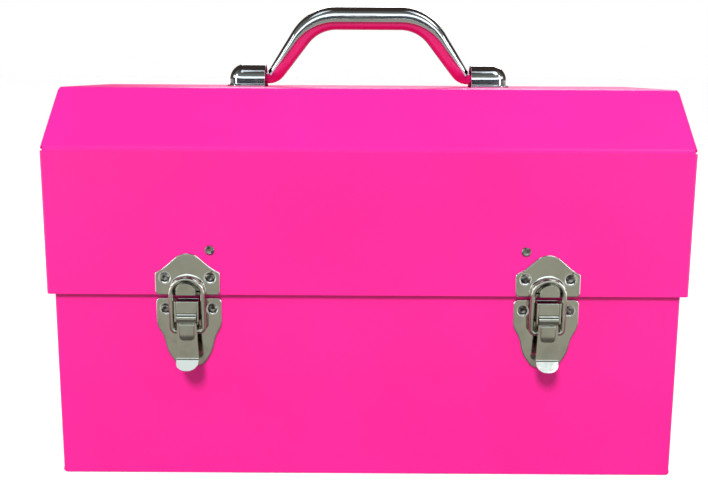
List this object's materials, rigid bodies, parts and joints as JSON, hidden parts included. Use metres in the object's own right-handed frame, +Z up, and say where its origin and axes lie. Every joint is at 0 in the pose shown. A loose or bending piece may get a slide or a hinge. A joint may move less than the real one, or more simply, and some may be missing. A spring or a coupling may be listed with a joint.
{
  "type": "metal lunch box",
  "caption": "Riveted sheet-metal lunch box with a coffered hinged lid, two draw latches, a folding handle with a plastic grip, and wire bails for a bottle inside the lid.",
  "frame": {"origin": "middle of the base, on the surface the box stands on", "axes": "+X to the right-hand end, -Y to the front with the latches, +Z up"},
  "size_m": [0.358, 0.1917, 0.268],
  "materials": {
    "enamel": "glossy pink powder coat on aluminium sheet",
    "nickel_plate": "bright nickel plate on pressed steel",
    "bare_metal": "bare rivets and pins",
    "wire": "drawn steel wire",
    "grip_plastic": "glossy deep pink plastic"
  },
  "bodies": {
    "body": {"body_wrap": "enamel", "body_end_left": "enamel", "body_end_right": "enamel", "body_end_rivets": "enamel", "hinge_leaf_body": "nickel_plate", "hinge_pin": "bare_metal", "hinge_rivets_body": "bare_metal", "latch_base_left": "nickel_plate", "latch_base_right": "nickel_plate", "latch_base_rivets": "bare_metal", "lever_pin_left": "bare_metal", "lever_pin_right": "bare_metal"},
    "lid": {"lid_wrap": "enamel", "lid_end_left": "enamel", "lid_end_right": "enamel", "lid_end_rivets": "enamel", "hinge_leaf_lid": "nickel_plate", "hinge_rivets_lid": "bare_metal", "strike_plate_left": "nickel_plate", "strike_plate_right": "nickel_plate", "strike_rivets": "bare_metal", "handle_cap_left": "nickel_plate", "handle_cap_right": "nickel_plate", "handle_cap_rivets": "bare_metal", "bail_studs": "bare_metal"},
    "handle": {"handle_channel": "nickel_plate", "handle_insert": "grip_plastic"},
    "lever_left": {"latch_lever_left": "nickel_plate"},
    "lever_right": {"latch_lever_right": "nickel_plate"},
    "loop_left": {"latch_loop_left": "nickel_plate"},
    "loop_right": {"latch_loop_right": "nickel_plate"},
    "bail_left": {"bottle_bail_left": "wire"},
    "bail_right": {"bottle_bail_right": "wire"}
  },
  "joints": [
    {"name": "lid_hinge", "type": "hinge", "parent": "body", "child": "lid", "pos_m": [0, 0.0891, 0.1033], "axis": [-1, 0, 0], "range_deg": [0, 150]},
    {"name": "handle_swing", "type": "hinge", "parent": "lid", "child": "handle", "pos_m": [0, 0, 0.22325], "axis": [1, 0, 0], "range_deg": [-70, 70]},
    {"name": "lever_left_pivot", "type": "hinge", "parent": "body", "child": "lever_left", "pos_m": [-0.0995, -0.0933, 0.0942], "axis": [-1, 0, 0], "range_deg": [0, 102]},
    {"name": "loop_left_pivot", "type": "hinge", "parent": "lever_left", "child": "loop_left", "pos_m": [-0.0995, -0.0916, 0.086], "axis": [1, 0, 0], "range_deg": [0, 118]},
    {"name": "lever_right_pivot", "type": "hinge", "parent": "body", "child": "lever_right", "pos_m": [0.0995, -0.0933, 0.0942], "axis": [-1, 0, 0], "range_deg": [0, 102]},
    {"name": "loop_right_pivot", "type": "hinge", "parent": "lever_right", "child": "loop_right", "pos_m": [0.0995, -0.0916, 0.086], "axis": [1, 0, 0], "range_deg": [0, 118]},
    {"name": "bail_left_swing", "type": "hinge", "parent": "lid", "child": "bail_left", "pos_m": [-0.087, 0, 0.1313], "axis": [0, 1, 0], "range_deg": [-110, 110]},
    {"name": "bail_right_swing", "type": "hinge", "parent": "lid", "child": "bail_right", "pos_m": [0.087, 0, 0.1313], "axis": [0, -1, 0], "range_deg": [-110, 110]}
  ],
  "couplings": [
    {"joint": "loop_left_pivot", "follows": "lever_left_pivot", "ratio": 1.15},
    {"joint": "loop_right_pivot", "follows": "lever_right_pivot", "ratio": 1.15}
  ]
}
